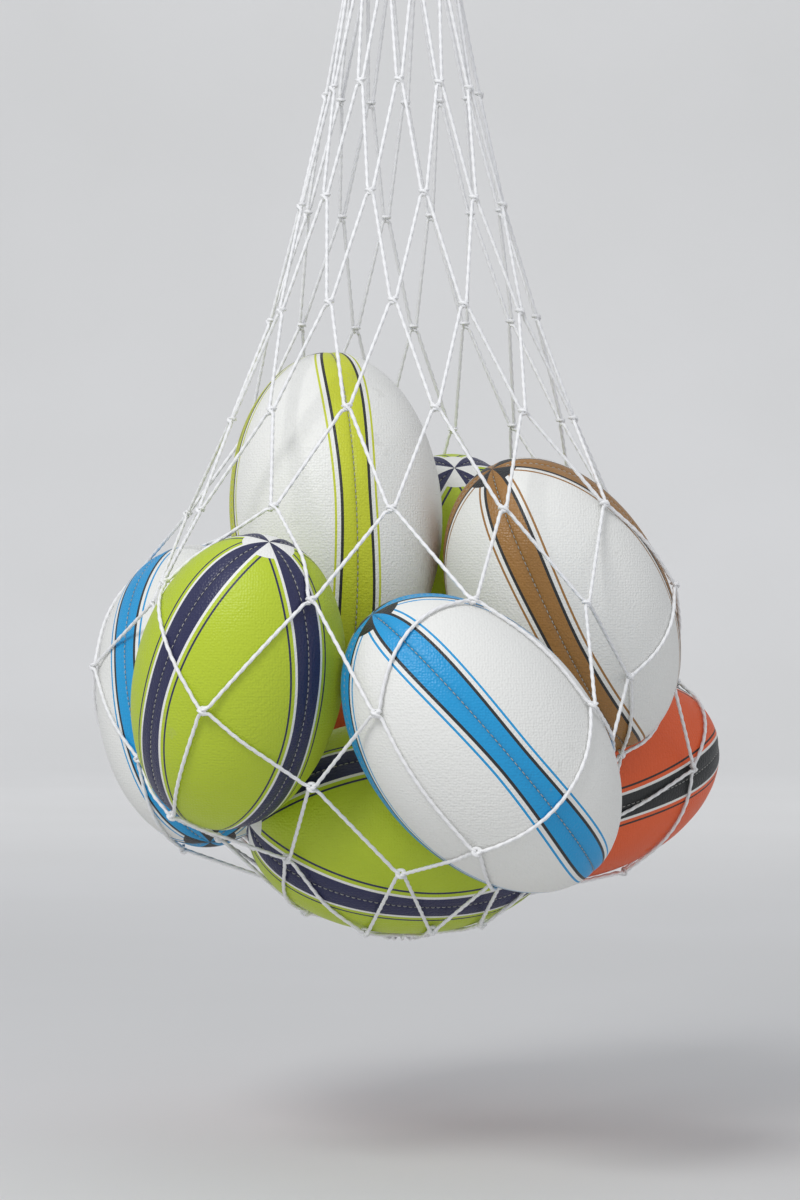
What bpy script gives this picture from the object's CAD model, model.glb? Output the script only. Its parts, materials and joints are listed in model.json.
import json
import math

import bpy
import numpy as np
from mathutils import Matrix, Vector


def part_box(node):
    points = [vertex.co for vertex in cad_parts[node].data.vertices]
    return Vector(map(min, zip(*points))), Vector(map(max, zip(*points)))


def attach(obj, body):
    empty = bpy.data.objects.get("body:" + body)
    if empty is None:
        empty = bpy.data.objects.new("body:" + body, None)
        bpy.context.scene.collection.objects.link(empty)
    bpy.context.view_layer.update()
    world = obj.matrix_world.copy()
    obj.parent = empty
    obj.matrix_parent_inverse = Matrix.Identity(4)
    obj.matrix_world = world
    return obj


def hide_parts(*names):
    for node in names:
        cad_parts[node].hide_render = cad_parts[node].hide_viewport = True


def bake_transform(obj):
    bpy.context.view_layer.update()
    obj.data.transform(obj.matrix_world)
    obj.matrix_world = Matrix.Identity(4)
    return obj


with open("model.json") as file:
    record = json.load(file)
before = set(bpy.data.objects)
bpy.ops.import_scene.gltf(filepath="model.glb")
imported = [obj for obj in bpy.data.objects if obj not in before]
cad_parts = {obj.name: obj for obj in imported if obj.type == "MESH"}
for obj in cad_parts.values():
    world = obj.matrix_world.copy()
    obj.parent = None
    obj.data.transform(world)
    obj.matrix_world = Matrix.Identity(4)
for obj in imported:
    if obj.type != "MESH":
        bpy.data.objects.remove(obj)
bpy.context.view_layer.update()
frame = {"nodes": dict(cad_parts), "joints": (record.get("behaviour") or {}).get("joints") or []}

MM = 0.001

# ---- camera, floor and light -------------------------------------------------------------

CAMERA_DISTANCE = 3.0
CAMERA_RISE = 0.3080        # above the foot of the bag
CAMERA_SHIFT = (-0.002, -0.039)
VIEW_HEIGHT = 1.08          # what the picture takes in at the distance of the bag, top to bottom
SENSOR = 36.0
FLOOR_DROP = 0.20           # from the foot of the bag to the floor


def make_camera():
    """A level camera in front of the bag. The gathered mouth is above its view."""
    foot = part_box("foot_cord")[0]
    hook = sum(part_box("hang_loop"), Vector()) / 2
    cam = bpy.data.objects.new("camera", bpy.data.cameras.new("camera"))
    bpy.context.scene.collection.objects.link(cam)
    cam.data.sensor_width = SENSOR
    cam.data.lens = SENSOR * CAMERA_DISTANCE / VIEW_HEIGHT
    cam.location = (hook.x + CAMERA_SHIFT[0], -CAMERA_DISTANCE + CAMERA_SHIFT[1], foot.z + CAMERA_RISE)
    cam.rotation_euler = (math.radians(90), 0, 0)
    bpy.context.scene.camera = cam


def mesh_object(name, points, faces, material):
    """A smooth-shaded mesh object from an array of points, in metres, and faces."""
    mesh = bpy.data.meshes.new(name)
    mesh.from_pydata([tuple(p) for p in points], [], [tuple(int(i) for i in f) for f in faces])
    mesh.update()
    mesh.polygons.foreach_set("use_smooth", [True] * len(mesh.polygons))
    obj = bpy.data.objects.new(name, mesh)
    bpy.context.scene.collection.objects.link(obj)
    obj.data.materials.append(material)
    return obj


class Nodes:
    """Short calls that build a material's node tree round one Principled shader."""

    def __init__(self, name, roughness=0.5, specular=0.5):
        self.material = bpy.data.materials.new(name)
        self.material.use_nodes = True
        self.tree = self.material.node_tree
        self.shader = self.tree.nodes["Principled BSDF"]
        self.shader.inputs["Roughness"].default_value = roughness
        self.shader.inputs["Specular IOR Level"].default_value = specular

    def new(self, kind, **settings):
        made = self.tree.nodes.new(kind)
        for key, value in settings.items():
            setattr(made, key, value)
        return made

    def put(self, socket, value):
        if isinstance(value, bpy.types.NodeSocket):
            self.tree.links.new(value, socket)
        else:
            socket.default_value = value

    def math(self, operation, a, b=0.0, c=0.0, clamp=False):
        made = self.new("ShaderNodeMath", operation=operation, use_clamp=clamp)
        for socket, value in zip(made.inputs, (a, b, c)):
            self.put(socket, value)
        return made.outputs[0]

    def mix(self, share, a, b):
        made = self.new("ShaderNodeMix", data_type="RGBA")
        self.put(made.inputs[0], share)
        self.put(made.inputs[6], a)
        self.put(made.inputs[7], b)
        return made.outputs[2]

    def attribute(self, name):
        """The X, Y and Z of a mesh attribute."""
        made = self.new("ShaderNodeAttribute", attribute_name=name)
        split = self.new("ShaderNodeSeparateXYZ")
        self.tree.links.new(made.outputs["Vector"], split.inputs[0])
        return split.outputs

    def where(self):
        return self.new("ShaderNodeTexCoord").outputs["Object"]

    def noise(self, scale, detail=3.0, roughness=0.5, at=None):
        made = self.new("ShaderNodeTexNoise")
        self.put(made.inputs["Vector"], at or self.where())
        made.inputs["Scale"].default_value = scale
        made.inputs["Detail"].default_value = detail
        made.inputs["Roughness"].default_value = roughness
        return made.outputs["Fac"]

    def curve(self, value, points):
        """A value looked up on straight lines between points."""
        made = self.new("ShaderNodeFloatCurve")
        line = made.mapping.curves[0]
        for x, y in points[1:-1]:
            line.points.new(x, y)
        line.points[0].location = points[0]
        line.points[-1].location = points[-1]
        for point in line.points:
            point.handle_type = "VECTOR"
        made.mapping.update()
        self.put(made.inputs["Value"], value)
        return made.outputs[0]

    def bump(self, height, distance, strength=1.0, after=None):
        made = self.new("ShaderNodeBump")
        made.inputs["Distance"].default_value = distance
        made.inputs["Strength"].default_value = strength
        self.put(made.inputs["Height"], height)
        if after is not None:
            self.put(made.inputs["Normal"], after)
        return made.outputs[0]

    def finish(self, colour, normal=None, roughness=None):
        self.put(self.shader.inputs["Base Color"], colour)
        if normal is not None:
            self.put(self.shader.inputs["Normal"], normal)
        if roughness is not None:
            self.put(self.shader.inputs["Roughness"], roughness)
        return self.material


def colour(red, green, blue):
    """A linear colour from one written as it looks on a screen, 0 to 1."""
    return tuple(((v + 0.055) / 1.055) ** 2.4 if v > 0.04 else v / 12.92 for v in (red, green, blue)) + (1.0,)


def studio_material():
    n = Nodes("studio_paper", roughness=0.9, specular=0.2)
    tint = n.mix(n.noise(1.3, 2.0), colour(0.83, 0.83, 0.825), colour(0.86, 0.86, 0.86))
    return n.finish(tint, n.bump(n.noise(240.0, 4.0), 0.0004, 0.25))


def make_studio():
    """A pale floor that curves up into a backdrop, far enough back for a camera behind the bag, and
    soft light from the front, left and above."""
    floor_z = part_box("foot_cord")[0].z - FLOOR_DROP
    half_width, front, back, bend, top = 16.0, -9.0, 6.8, 2.2, 8.0
    outline = [(front, floor_z), (back, floor_z)]
    outline += [(back + bend * math.sin(a), floor_z + bend * (1 - math.cos(a)))
                for a in np.linspace(0, math.pi / 2, 24)[1:]]
    outline += [(back + bend, floor_z + top)]
    points = [(x, y, z) for y, z in outline for x in (-half_width, half_width)]
    faces = [(2 * i, 2 * i + 1, 2 * i + 3, 2 * i + 2) for i in range(len(outline) - 1)]
    mesh_object("studio_floor", points, faces, studio_material())

    def soft_light(name, place, aim, size, power, tint=(1, 1, 1)):
        light = bpy.data.lights.new(name, "AREA")
        light.shape = "RECTANGLE"
        light.size, light.size_y = size
        light.energy = power
        light.color = tint
        obj = bpy.data.objects.new(name, light)
        bpy.context.scene.collection.objects.link(obj)
        obj.location = place
        obj.rotation_euler = (Vector(aim) - Vector(place)).to_track_quat("-Z", "Y").to_euler()

    middle = (0, 0, -0.8)
    soft_light("key", (-1.6, -2.8, 1.9), middle, (1.3, 1.3), 80)
    soft_light("fill", (2.2, -2.8, 1.2), middle, (2.0, 2.0), 6)
    soft_light("backdrop", (0.0, 4.2, 3.4), (0, 8.8, -0.6), (8.0, 1.5), 135)
    world = bpy.data.worlds.new("studio")
    world.use_nodes = True
    world.node_tree.nodes["Background"].inputs["Color"].default_value = (0.93, 0.95, 1.0, 1)
    world.node_tree.nodes["Background"].inputs["Strength"].default_value = 0.63
    bpy.context.scene.world = world
    bpy.context.scene.view_settings.view_transform = "Standard"


# ---- the balls: sizes and places, from the frame's own joints ------------------------------

BALL_HALF_LENGTH = 147.0    # of a full-size ball, in millimetres
BALL_HALF_WIDTH = 96.0
SMALL_BALL = 0.93
SMALL_BALLS = (2,)
PANELS = 4


class Ball:
    """One ball's centre, axes and size in millimetres. Its third axis is the long one."""

    def __init__(self, number):
        joint = next(j for j in frame["joints"] if j["name"] == f"ball_{number}_turn")
        scale = SMALL_BALL if number in SMALL_BALLS else 1.0
        self.number = number
        self.centre = np.array(joint["pos_m"], float) / MM
        self.long_axis = np.array(joint["axis"], float)
        self.long_axis /= np.linalg.norm(self.long_axis)
        lean = math.acos(self.long_axis[2])
        bearing = math.atan2(self.long_axis[1], self.long_axis[0])
        self.across = np.array([math.cos(lean) * math.cos(bearing), math.cos(lean) * math.sin(bearing),
                                -math.sin(lean)])
        self.level = np.array([-math.sin(bearing), math.cos(bearing), 0.0])
        self.half_width = BALL_HALF_WIDTH * scale
        self.half_length = BALL_HALF_LENGTH * scale
        self.scale = scale

    def to_world(self, local, turn=0.0):
        """Points given on the ball's own axes, turned about the long one by turn degrees."""
        c, s = math.cos(math.radians(turn)), math.sin(math.radians(turn))
        x = local[..., 0:1] * c - local[..., 1:2] * s
        y = local[..., 0:1] * s + local[..., 1:2] * c
        return self.centre + x * self.across + y * self.level + local[..., 2:3] * self.long_axis

    def push_out(self, points, room):
        """Points inside the ball, or nearer to it than room, moved straight out from its centre."""
        away = points - self.centre
        parts = np.stack([away @ self.across / (self.half_width + room),
                          away @ self.level / (self.half_width + room),
                          away @ self.long_axis / (self.half_length + room)], -1)
        inside = (parts ** 2).sum(-1)
        grow = np.where(inside < 1, 1 / np.sqrt(np.maximum(inside, 1e-9)), 1.0)
        return self.centre + away * grow[..., None]


BALLS = [Ball(i) for i in range(1, 10)]


def outside(points, room):
    for ball in BALLS:
        points = ball.push_out(points, room)
    return points


# ---- the net: the same settling as the CAD model's ------------------------------------------

MESHES = 12
COURSES = 12
CORD_R = 1.8
KNOT_R = 4.4
BAR_SLACK = 100.0
MOUTH_R = 32.0
MOUTH_Z = -110.0
BELLY_R = 290.0
BELLY_Z = -830.0
BELLY_LEVEL = 7
FOOT_R = 14.0
FOOT = np.array([0.0, 20.0, -1090.0])
SETTLE_ROUNDS = 150
SPRING_STEP = 0.22
CONE_SWELL = 1.4
KNOT_ROOM = KNOT_R + 0.5
CORD_ROOM = CORD_R + 0.5
SIDE_STEP = 2.2
KNOT_STAND_OFF = KNOT_R + 0.2
FIRST_BALL_LEVEL = 3


def unit(v):
    return v / np.linalg.norm(v, axis=-1, keepdims=True)


def start_knots():
    """The knots before they settle: a cone down to the belly, then a bowl in to the foot."""
    knots = np.zeros((COURSES + 1, MESHES, 3))
    for level in range(COURSES + 1):
        if level <= BELLY_LEVEL:
            t = level / BELLY_LEVEL
            radius = MOUTH_R + (BELLY_R - MOUTH_R) * t ** CONE_SWELL
            z = MOUTH_Z + (BELLY_Z - MOUTH_Z) * t
        else:
            a = math.pi / 2 * (level - BELLY_LEVEL) / (COURSES - BELLY_LEVEL)
            radius = FOOT_R + (BELLY_R - FOOT_R) * math.cos(a)
            z = BELLY_Z + (FOOT[2] - BELLY_Z) * math.sin(a)
        share = level / COURSES
        turn = np.radians((np.arange(MESHES) + 0.5 * (level % 2)) * 360 / MESHES)
        knots[level, :, 0] = FOOT[0] * share + radius * np.sin(turn)
        knots[level, :, 1] = FOOT[1] * share - radius * np.cos(turn)
        knots[level, :, 2] = z
    return knots


def right_of(level, column):
    return (column + level % 2) % MESHES


def left_of(level, column):
    return (column + level % 2 - 1) % MESHES


def settled_knots():
    knots = start_knots()
    columns = np.arange(MESHES)

    def pull(a, b):
        d = b - a
        long = np.linalg.norm(d, axis=-1, keepdims=True)
        return d * np.maximum(1 - BAR_SLACK / long, 0)

    for _ in range(SETTLE_ROUNDS):
        moved = knots.copy()
        for level in range(1, COURSES):
            force = sum(pull(knots[level], knots[near][side(level, columns)])
                        for near in (level - 1, level + 1) for side in (left_of, right_of))
            moved[level] = knots[level] + SPRING_STEP * force
            if level > FIRST_BALL_LEVEL:
                moved[level] = outside(moved[level], KNOT_ROOM)
        knots = moved
    return knots


def around(p):
    """Level direction round the bag at a point, towards the next column."""
    out = unit(np.array([p[0], p[1] - FOOT[1] * p[2] / FOOT[2], 0.0]))
    return np.array([-out[1], out[0], 0.0])


def stand_off(level):
    """How far from a knot's middle a bar starts: clear of the knot, or of the end loop there."""
    return {0: 7.1, COURSES: 5.5}.get(level, KNOT_STAND_OFF)


def bar_path(level, a, b, side, count=9):
    """Points along one bar of the net, pulled tight and kept off the balls."""
    start = a + side * SIDE_STEP * around(a)
    end = b - side * SIDE_STEP * around(b)
    points = start + (end - start) * np.linspace(0, 1, count)[:, None]
    for _ in range(30):
        points[1:-1] = outside((points[:-2] + points[2:]) / 2, CORD_ROOM)
    points[0] = start + stand_off(level) * unit(points[1] - start)
    points[-1] = end + stand_off(level + 1) * unit(points[-2] - end)
    return points


def knot_axes(knots, level, column):
    """Sideways, upward and outward directions of a knot."""
    here = knots[level][column]
    up = np.zeros(3)
    for near, sign in ((level - 1, 1), (level + 1, -1)):
        if 0 <= near <= COURSES:
            for side in (left_of, right_of):
                up += sign * unit(knots[near][side(level, column)] - here)
    sideways = around(here)
    outward = unit(np.cross(sideways, unit(up)))
    upward = np.cross(outward, sideways)
    middle = np.array([0, FOOT[1] * here[2] / FOOT[2], here[2] + 40.0])
    if outward @ (here - middle) < 0:
        outward = -outward
    return sideways, upward, outward


# A netting knot, in millimetres: sideways, upward, outward. The bight hangs from the course above,
# and the lower course's cord comes up through it, round the back of both legs and down in front.
BIGHT = [(-1.9, 2.3, 0.1), (-1.7, -0.9, 0.4), (0.0, -2.9, 0.9), (1.7, -0.9, 0.4), (1.9, 2.3, 0.1)]
WRAP = [(-1.3, -2.4, -1.4), (-0.4, -0.4, 0.4), (0.7, 1.0, 2.2), (2.9, 1.6, 1.3), (3.4, 1.8, -0.8),
        (1.7, 2.0, -2.4), (-1.7, 2.0, -2.4), (-3.4, 1.4, -0.8), (-2.8, 0.6, 1.6), (-0.4, -0.4, 2.9),
        (1.6, -1.9, 2.0)]


def knot_turns(knots, level, column, shape):
    sideways, upward, outward = knot_axes(knots, level, column)
    turns = np.array(shape)
    return (knots[level][column] + turns[:, 0:1] * sideways + turns[:, 1:2] * upward
            + turns[:, 2:3] * outward)


def smooth_line(points, spacing, closed):
    """A Catmull-Rom curve through the points, cut into even steps."""
    points = np.asarray(points, float)
    if closed:
        padded = np.vstack([points[-1:], points, points[:2]])
    else:
        padded = np.vstack([2 * points[:1] - points[1:2], points, 2 * points[-1:] - points[-2:-1]])
    fine = []
    t = np.linspace(0, 1, 12, endpoint=False)[:, None]
    for p0, p1, p2, p3 in zip(padded, padded[1:], padded[2:], padded[3:]):
        fine.append(0.5 * (2 * p1 + (p2 - p0) * t + (2 * p0 - 5 * p1 + 4 * p2 - p3) * t ** 2
                           + (3 * p1 - p0 - 3 * p2 + p3) * t ** 3))
    fine.append(padded[-2:-1])
    fine = np.vstack(fine)
    run = np.r_[0, np.cumsum(np.linalg.norm(np.diff(fine, axis=0), axis=1))]
    count = max(int(run[-1] / spacing), 4)
    at = np.linspace(0, run[-1], count + 1)
    line = np.stack([np.interp(at, run, fine[:, k]) for k in range(3)], -1)
    return line[:-1] if closed else line


def rope(line, radius, closed, lobes=3, lobe_depth=0.17, pitch=10.0, sides=12):
    """Points and faces of a laid cord along a line: its cross-section has lobes, and they twist."""
    n = len(line)
    ahead = np.roll(line, -1, 0) - np.roll(line, 1, 0)
    if not closed:
        ahead[0], ahead[-1] = line[1] - line[0], line[-1] - line[-2]
    ahead = unit(ahead)
    side = np.zeros_like(line)
    side[0] = unit(np.cross(ahead[0], [0.3, 0.5, 0.8]))
    for i in range(1, n):
        v = side[i - 1] - ahead[i] * (side[i - 1] @ ahead[i])
        side[i] = v / np.linalg.norm(v)
    run = np.r_[0, np.cumsum(np.linalg.norm(np.diff(line, axis=0), axis=1))]
    if closed:
        # the frame's leftover turn at the closing ring is spread along the whole cord
        last = side[-1] - ahead[0] * (side[-1] @ ahead[0])
        last /= np.linalg.norm(last)
        slip = math.atan2(np.cross(last, side[0]) @ ahead[0], last @ side[0])
        turns = round(run[-1] / pitch)
        spin = 2 * math.pi * turns * run / run[-1]
        frame_turn = slip * run / run[-1]
    else:
        spin = 2 * math.pi * run / pitch
        frame_turn = np.zeros(n)
    other = np.cross(ahead, side)
    a = 2 * math.pi * np.arange(sides) / sides
    angle = a[None, :] + frame_turn[:, None]
    size = np.broadcast_to(np.asarray(radius, float), (n,))[:, None]
    reach = size * (1 + lobe_depth * (np.cos(lobes * a[None, :] + spin[:, None]) - 1))
    points = (line[:, None, :] + (reach * np.cos(angle))[..., None] * side[:, None, :]
              + (reach * np.sin(angle))[..., None] * other[:, None, :]).reshape(-1, 3)
    rings = n if closed else n - 1
    i, k = np.meshgrid(np.arange(rings), np.arange(sides), indexing="ij")
    j, m = (i + 1) % n, (k + 1) % sides
    faces = [tuple(f) for f in np.stack([i * sides + k, i * sides + m, j * sides + m, j * sides + k],
                                        -1).reshape(-1, 4)]
    if not closed:
        faces += [tuple(range(sides))[::-1], tuple(range((n - 1) * sides, n * sides))]
    return points, faces


def joined(parts):
    """Several (points, faces) pairs as one."""
    points, faces, offset = [], [], 0
    for p, f in parts:
        points.append(np.asarray(p))
        faces += [tuple(v + offset for v in face) for face in f]
        offset += len(p)
    return np.vstack(points), faces


def cord_material(name, tint, shade, fibre_scale):
    n = Nodes(name, roughness=0.42, specular=0.45)
    n.shader.inputs["Sheen Weight"].default_value = 0.25
    n.shader.inputs["Sheen Roughness"].default_value = 0.4
    worn = n.mix(n.noise(38.0, 3.0), shade, tint)
    fibre = n.noise(fibre_scale, 4.0, 0.65)
    speck = n.mix(n.math("MULTIPLY", fibre, 0.35), worn, shade)
    rough = n.math("MULTIPLY_ADD", fibre, 0.3, 0.3)
    return n.finish(speck, n.bump(fibre, 0.0007, 0.8), rough)


MOUTH_DROP = 7.6            # how far below the mouth ring's middle the first course hangs
FOOT_RISE = 6.0             # how far above the foot cord's middle the last course ends
NET_STEP = 1.5              # between rings of points along a cord


def make_net(knots, material):
    """One piece for each course: a single cord that ties into the course above and the one below."""
    for course in range(1, COURSES + 1):
        level = course - 1
        route = []
        for column in range(MESHES):
            top = knots[level][column]
            if level == 0:
                turn = [top - [0, 0, MOUTH_DROP]]
            else:
                turn = knot_turns(knots, level, column, WRAP)
            below = right_of(level, column)
            down = bar_path(level, top, knots[course][below], 1)
            if course < COURSES:
                bight = knot_turns(knots, course, below, BIGHT)
            else:
                bight = [knots[course][below] + [0, 0, FOOT_RISE]]
            after = (column + 1) % MESHES
            up = bar_path(level, knots[level][after], knots[course][below], -1)[::-1]
            route += [*turn, *down, *bight, *up]
        line = smooth_line(route, NET_STEP, closed=True)
        points, faces = rope(line, CORD_R, closed=True)
        piece = mesh_object(f"net_course_{course}_cord", points * MM, faces, material)
        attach(piece, "bag")
        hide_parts(f"net_course_{course}")


# ---- the draw cord, its knot and the small loops ----------------------------------------------

DRAW_R = 3.0
BOW_R = 12.0
LEG_GAP = 3.3
PIVOT = np.array([0.0, 0.0, -50.0])
LEG_TOP_DROP = 10.0
LEG_BEND_DROP = 24.0
HITCH_TURN = 15.0           # the legs reach the mouth ring between two of the net's columns
LASHING_R = 8.7
LASHING_CORD_R = 1.5
LASHING_DROP = 11.0
LASHING_TURNS = 4.3
LASHING_PITCH = 2.45
KNOT_SCALE = 2.15           # of the trefoil that the top knot follows
KNOT_CORD_R = 3.1
HITCH_R = 5.6               # round the mouth ring, to the middle of the leg's cord
HITCH_SHIFT = 4.4
LEG_CORD_R = 2.7
CORD_STEP = 0.9             # between rings of points along the draw cord
MOUTH_LOOP_R = 5.1
FOOT_LOOP_R = 3.8
FOOT_LOOP_CORD_R = 1.5
FOOT_CORD_R = 2.0


def braid(line, radius, closed, strands=4, sides=24):
    """A braided cord along a line: strands that cross in both directions round it."""
    points, faces = rope(line, 1.0, closed, lobe_depth=0, sides=sides)
    rings = points.reshape(-1, sides, 3)
    out = rings - line[:, None, :]
    run = np.r_[0, np.cumsum(np.linalg.norm(np.diff(line, axis=0), axis=1))]
    pitch = run[-1] / max(round(run[-1] / (radius * 7)), 1)
    a = 2 * math.pi * np.arange(sides)[None, :] / sides
    spin = 2 * math.pi * run[:, None] / pitch * (len(line) / (len(line) - (0 if closed else 1)))
    weave = np.cos(strands * a + spin * strands / 2) * np.cos(strands * a - spin * strands / 2)
    reach = radius * (0.89 + 0.11 * weave)
    return (line[:, None, :] + out * reach[..., None]).reshape(-1, 3), faces


def ring_turn(centre, bearing, hold_r, start, turns, shift, steps=14):
    """Points of a cord that goes round a level ring at a bearing, moving sideways along the ring."""
    a = math.radians(bearing)
    out = np.array([math.sin(a), -math.cos(a), 0.0])
    along = np.array([math.cos(a), math.sin(a), 0.0])
    up = np.array([0, 0, 1.0])
    t = np.linspace(0, 1, int(steps * turns) + 1)[:, None]
    angle = np.radians(start) + 2 * math.pi * turns * t
    return centre + along * shift * (t - 0.5) + hold_r * (np.cos(angle) * out + np.sin(angle) * up)


def add_cord(name, parts, material, body, node):
    """One piece of cord in place of a CAD node."""
    points, faces = joined(parts)
    piece = mesh_object(name, points * MM, faces, material)
    if body:
        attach(piece, body)
    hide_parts(node)
    return piece


def make_cords(knots, net_cord, draw_cord, twine):
    bow_z = -BOW_R + DRAW_R
    arch = np.radians(np.linspace(0, 180, 19))
    bow = np.stack([BOW_R * np.cos(arch), 0 * arch, bow_z + BOW_R * np.sin(arch)], -1)
    knot_top = np.array([LEG_GAP - 1.2, 0, PIVOT[2] + 4.0])
    drop = np.linspace(0, 1, 7)[:, None]
    leg = knot_top + (np.array([BOW_R, 0, bow_z]) - knot_top) * drop
    leg[:, 0] += 1.4 * np.sin(math.pi * drop[:, 0]) * (1 - drop[:, 0])
    legs = [leg[:-1] * np.array([side, 1, 1]) for side in (1, -1)]
    loop = smooth_line([*legs[0], *bow, *legs[1][::-1]], CORD_STEP, closed=False)
    loop_piece = add_cord("hang_loop_cord", [braid(loop, DRAW_R, False)], draw_cord, None,
                          "hang_loop")
    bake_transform(loop_piece)

    t = np.linspace(0, 2 * math.pi, 60, endpoint=False)
    trefoil = np.stack([np.sin(t) + 2 * np.sin(2 * t), -1.25 * np.sin(3 * t),
                        np.cos(t) - 2 * np.cos(2 * t)], -1)
    trefoil = PIVOT + KNOT_SCALE * trefoil * np.array([1, 1.1, 1])
    knot = braid(smooth_line(trefoil, CORD_STEP, closed=True), KNOT_CORD_R, True)
    add_cord("loop_knot_cord", [knot], draw_cord, "top_knot", "loop_knot")

    s = np.linspace(0, 1, 100)[:, None]
    a = 2 * math.pi * LASHING_TURNS * s
    coil = PIVOT + np.hstack([LASHING_R * np.cos(a), LASHING_R * np.sin(a),
                              0.9 - LASHING_DROP - LASHING_PITCH * LASHING_TURNS * s])
    coil = rope(smooth_line(coil, 0.8, closed=False), LASHING_CORD_R, False, pitch=5)
    add_cord("mouth_lashing_twine", [coil], twine, "lashing", "mouth_lashing")

    mouth = np.array([0, 0, MOUTH_Z])
    parts = []
    for side in (1, -1):
        c, d = math.cos(math.radians(HITCH_TURN)) * side, math.sin(math.radians(HITCH_TURN)) * side
        direction = np.array([c, d, 0])
        top = PIVOT + LEG_GAP * direction - [0, 0, LEG_TOP_DROP - 3.5]
        bend = PIVOT + LEG_GAP * direction - [0, 0, LEG_BEND_DROP]
        ring_at = mouth + MOUTH_R * direction
        bearing = math.degrees(math.atan2(direction[0], -direction[1]))
        hitch = ring_turn(ring_at, bearing, HITCH_R, 100, 1.0, HITCH_SHIFT, 16)
        route = [top, (top + bend) / 2, bend, bend + (hitch[0] - bend) * 0.5, *hitch]
        parts.append(braid(smooth_line(route, CORD_STEP, closed=False), LEG_CORD_R, False))
    add_cord("draw_cord_leg_braids", parts, draw_cord, "bag", "draw_cord_legs")

    circle = np.radians(np.linspace(0, 360, 72, endpoint=False))
    flat = np.stack([np.cos(circle), np.sin(circle), 0 * circle], -1)
    ring = braid(smooth_line(mouth + MOUTH_R * flat, CORD_STEP, closed=True), DRAW_R, True)
    add_cord("draw_cord_ring_braid", [ring], draw_cord, "bag", "draw_cord_ring")
    foot = braid(smooth_line(FOOT + FOOT_R * flat, 0.7, closed=True), FOOT_CORD_R, True)
    add_cord("foot_cord_braid", [foot], draw_cord, "bag", "foot_cord")

    def loops(level, hold_r, cord_r, start, shift, reach):
        made = []
        for column in range(MESHES):
            bearing = (column + 0.5 * (level % 2)) * 360 / MESHES
            turn = ring_turn(knots[level][column], bearing, hold_r, start, 1.0, shift)
            down = np.array([0, 0, reach])
            route = [turn[0] + down, *turn, turn[-1] + down]
            made.append(rope(smooth_line(route, 1.0, closed=False), cord_r, False, pitch=11))
        return made

    add_cord("mouth_loop_turns", loops(0, MOUTH_LOOP_R, CORD_R, -90, 4.0, -2.4), net_cord, "bag",
             "mouth_loops")
    add_cord("foot_loop_turns", loops(COURSES, FOOT_LOOP_R, FOOT_LOOP_CORD_R, 90, 3.2, 1.6), net_cord, "bag",
             "foot_loops")


# ---- the balls -----------------------------------------------------------------------------

GROOVE_DEPTH = 1.0
GROOVE_REACH = 0.8
TUCK_DEPTH = 0.7            # the panels round over towards a seam
TUCK_REACH = 5.0
ROWS = 196                  # from tip to tip
COLUMN_OFFSETS = (0, 0.5, 1.0, 1.6, 2.5, 4.0, 6.5, 10.5, 16, 22.5, 30, 37.7)    # millimetres from a seam
STITCH_PITCH = 5.2
STITCH_LENGTH = 3.4
STITCH_R = 0.42
# where each ball's first seam is, in degrees about its long axis
TURNS = (260, 107, 307, 226, 171, 225, 15, 160, 135)


def ball_skin(ball, turn):
    """The cover: four panels that round over into their seams. The mesh keeps each point's place
    on its panel: across from the nearest seam to the panel's middle, and from the equator to a tip."""
    reach = COLUMN_OFFSETS[-1]
    half_panel = [o / reach * 45.0 for o in COLUMN_OFFSETS]
    columns, share = [], []
    for panel in range(PANELS):
        for a in half_panel[:-1]:
            columns.append(90 * panel + a)
            share.append(a / 45)
        for a in reversed(half_panel[1:]):
            columns.append(90 * panel + 90 - a)
            share.append(a / 45)
    columns, share = np.radians(columns), np.array(share)
    phi = np.linspace(-math.pi / 2, math.pi / 2, ROWS + 1)[1:-1, None]
    across = np.cos(phi) * ball.half_width
    from_seam = share[None, :] * math.pi / 4 * across
    dip = (GROOVE_DEPTH * np.exp(-(from_seam / GROOVE_REACH) ** 2)
           + TUCK_DEPTH * np.exp(-(from_seam / TUCK_REACH) ** 2))
    dip = dip * np.clip(across / 12, 0, 1)
    radius = across - dip * np.cos(phi)
    height = np.sin(phi) * (ball.half_length - dip)
    local = np.stack([radius * np.cos(columns), radius * np.sin(columns), height + 0 * columns], -1)
    count = len(columns)
    rows = len(phi)
    tips = np.array([[0, 0, -ball.half_length + 0.3], [0, 0, ball.half_length - 0.3]])
    points = ball.to_world(np.vstack([local.reshape(-1, 3), tips]), turn)
    flat = 0 * phi + 0 * share
    place = np.stack([share + flat, np.abs(phi) / (math.pi / 2) + flat, flat], -1)
    place = np.vstack([place.reshape(-1, 3), [[0.5, 1, 0], [0.5, 1, 0]]])
    faces = []
    for i in range(rows - 1):
        for k in range(count):
            m = (k + 1) % count
            faces.append((i * count + k, i * count + m, (i + 1) * count + m, (i + 1) * count + k))
    bottom, top, last = rows * count, rows * count + 1, (rows - 1) * count
    for k in range(count):
        m = (k + 1) % count
        faces.append((bottom, m, k))
        faces.append((top, last + k, last + m))
    return points, faces, place


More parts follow.
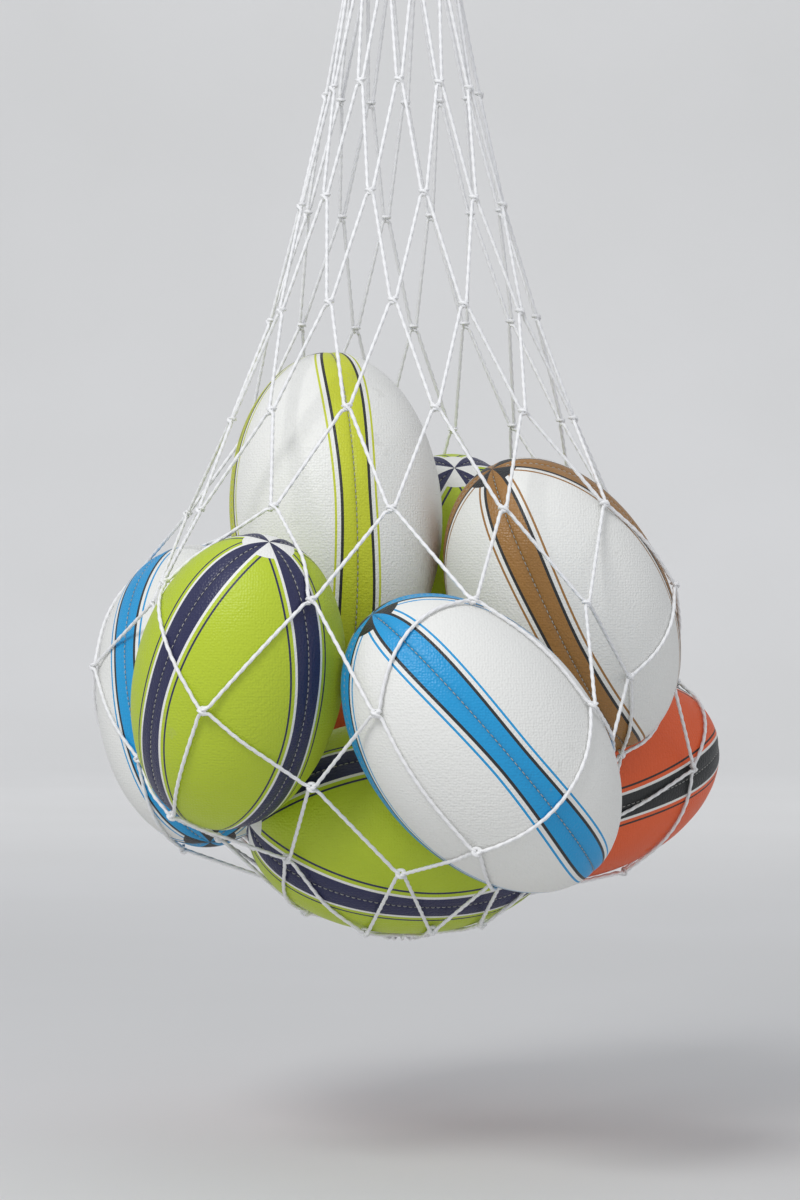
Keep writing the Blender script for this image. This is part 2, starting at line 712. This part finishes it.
def seam_stitches(ball, turn):
    """Short runs of thread along each seam, sunk in its groove and arched at the middle."""
    parts = []
    fine = np.radians(np.linspace(-84, 84, 2000))
    run = np.r_[0, np.cumsum(np.hypot(np.diff(np.cos(fine)) * ball.half_width,
                                      np.diff(np.sin(fine)) * ball.half_length))]
    for seam in range(PANELS):
        angle = math.radians(90 * seam)
        for start in np.arange(1.0, run[-1] - STITCH_LENGTH, STITCH_PITCH):
            at = np.interp(start + np.linspace(0, STITCH_LENGTH, 5), run, fine)
            sink = 1.55 - 0.55 * np.array([0, 0.8, 1, 0.8, 0])
            across = np.cos(at) * (ball.half_width - sink)
            local = np.stack([across * math.cos(angle), across * math.sin(angle),
                              np.sin(at) * (ball.half_length - sink)], -1)
            parts.append(rope(ball.to_world(local, turn), STITCH_R * np.array([0.6, 1, 1, 1, 0.6]),
                              closed=False, lobe_depth=0, sides=6))
    return joined(parts)


# The print is plain: a stripe along each seam that flares towards the tips, its outline, a
# pinstripe beside it, and a small cap on each tip.
STRIPE_WAIST = 0.15         # share of the way from the seam to the panel's middle
STRIPE_FLARE = 0.52
STRIPE_CURVE = 1.7
CAP_START = 0.84            # share of the way from the equator to a tip
LINE_WIDTH = 2.6            # millimetres
PINSTRIPE_GAP = 6.0
PINSTRIPE_WIDTH = 2.0


def stripe_edge(outwards):
    """An edge of the print, some millimetres out from the stripe's own edge, for a curve lookup."""
    t = np.linspace(0, 1, 46)
    share = STRIPE_WAIST + (STRIPE_FLARE - STRIPE_WAIST) * t ** STRIPE_CURVE
    half = np.maximum(BALL_HALF_WIDTH * np.cos(t * math.pi / 2) * math.pi / 4, 2.0)
    return [(float(x), float(y)) for x, y in zip(t, np.minimum(share + outwards / half, 1.0))]


def cover_material(name, base, band, line):
    """Satin pimpled rubber with a plain striped print."""
    n = Nodes(name, roughness=0.42, specular=0.42)
    place = n.attribute("place")
    h, t = place[0], place[1]

    def within(outwards):
        return n.math("LESS_THAN", h, n.curve(t, stripe_edge(outwards)))

    def away(a, b):
        return n.math("MULTIPLY", a, n.math("SUBTRACT", 1.0, b))

    printed = within(0.0)
    pinstripe = away(within(PINSTRIPE_GAP + PINSTRIPE_WIDTH), within(PINSTRIPE_GAP))
    lined = away(n.math("MAXIMUM", n.math("GREATER_THAN", t, CAP_START), within(LINE_WIDTH)), printed)
    clean = n.mix(n.math("MAXIMUM", printed, pinstripe), base, band)
    clean = n.mix(lined, clean, line)

    # the seam: a dark thread line in the groove, and a little dirt along it
    narrowing = n.math("COSINE", n.math("MULTIPLY", t, math.pi / 2))
    half = n.math("MULTIPLY", narrowing, BALL_HALF_WIDTH * math.pi / 4)
    apart = n.math("MULTIPLY", h, half)
    seam = n.math("SUBTRACT", 1.0, n.math("DIVIDE", apart, 0.9), clamp=True)
    near_seam = n.math("SUBTRACT", 1.0, n.math("DIVIDE", apart, 5.0), clamp=True)
    grime = n.math("MULTIPLY", near_seam, n.noise(60.0, 3.0))
    shade = n.math("MULTIPLY_ADD", seam, 0.38, n.math("MULTIPLY", grime, 0.16), clamp=True)
    scuffs = n.noise(14.0, 5.0, 0.7)
    scuffed = n.math("MULTIPLY", n.math("GREATER_THAN", scuffs, 0.66), 0.10)
    worn = n.mix(scuffed, clean, colour(0.62, 0.62, 0.58))
    tone = n.mix(n.math("MULTIPLY", n.noise(5.0, 2.0), 0.10), worn, colour(0.5, 0.5, 0.47))
    final = n.mix(shade, tone, colour(0.10, 0.10, 0.10))

    pimples = n.new("ShaderNodeTexVoronoi")
    n.put(pimples.inputs["Vector"], n.where())
    pimples.inputs["Scale"].default_value = 430.0
    pimples.inputs["Randomness"].default_value = 0.55
    grip = n.bump(pimples.outputs["Distance"], 0.0006, 0.8)
    rough = n.math("MULTIPLY_ADD", n.noise(90.0, 3.0), 0.18, n.math("MULTIPLY_ADD", printed, -0.05, 0.36))
    return n.finish(final, grip, rough)


WHITE = colour(0.93, 0.93, 0.915)
BLACK = colour(0.13, 0.14, 0.15)
LIME = colour(0.72, 0.80, 0.16)
NAVY = colour(0.14, 0.15, 0.31)
PRINTS = {
    "lime_on_white": (WHITE, colour(0.78, 0.81, 0.16), BLACK),
    "navy_on_lime": (LIME, NAVY, WHITE),
    "blue_on_white": (WHITE, colour(0.0, 0.60, 0.84), BLACK),
    "bronze_on_white": (WHITE, colour(0.62, 0.44, 0.21), BLACK),
    "black_on_orange": (colour(0.93, 0.38, 0.17), BLACK, WHITE),
}
BALL_PRINTS = ("lime_on_white", "navy_on_lime", "blue_on_white", "bronze_on_white", "blue_on_white",
               "navy_on_lime", "black_on_orange", "black_on_orange", "navy_on_lime")


def rubber_material(name, tint, roughness=0.6):
    n = Nodes(name, roughness=roughness, specular=0.4)
    grain = n.noise(420.0, 4.0)
    return n.finish(n.mix(grain, tint, tuple(0.6 * v for v in tint[:3]) + (1.0,)), n.bump(grain, 0.0002, 0.4))


def make_balls():
    covers = {name: cover_material("cover_" + name, *tints) for name, tints in PRINTS.items()}
    thread = cord_material("seam_thread", colour(0.80, 0.80, 0.78), colour(0.55, 0.55, 0.53), 1500.0)
    bladder = rubber_material("bladder_rubber", colour(0.20, 0.20, 0.20))
    valve = rubber_material("valve_rubber", colour(0.12, 0.12, 0.12), 0.5)
    for ball, turn, look in zip(BALLS, TURNS, BALL_PRINTS):
        body = f"ball_{ball.number}"
        points, faces, place = ball_skin(ball, turn)
        cover = mesh_object(f"{body}_cover", points * MM, faces, covers[look])
        layer = cover.data.attributes.new("place", "FLOAT_VECTOR", "POINT")
        layer.data.foreach_set("vector", place.astype(np.float32).ravel())
        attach(cover, body)
        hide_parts(f"{body}_panels")
        points, faces = seam_stitches(ball, turn)
        stitches = mesh_object(f"{body}_stitches", points * MM, faces, thread)
        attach(stitches, body)
        for node, material in ((f"{body}_bladder", bladder), (f"{body}_valve", valve)):
            shown = frame["nodes"][node].data
            shown.materials.clear()
            shown.materials.append(material)


# ---- run ----------------------------------------------------------------------------------

make_camera()
knots = settled_knots()
net_white = cord_material("net_cord_white", colour(0.985, 0.985, 0.985), colour(0.93, 0.93, 0.935), 900.0)
draw_white = cord_material("draw_cord_white", colour(0.98, 0.98, 0.975), colour(0.90, 0.90, 0.89), 1100.0)
twine_white = cord_material("twine_white", colour(0.90, 0.90, 0.87), colour(0.76, 0.75, 0.71), 1300.0)
make_net(knots, net_white)
make_cords(knots, net_white, draw_white, twine_white)
make_balls()
make_studio()
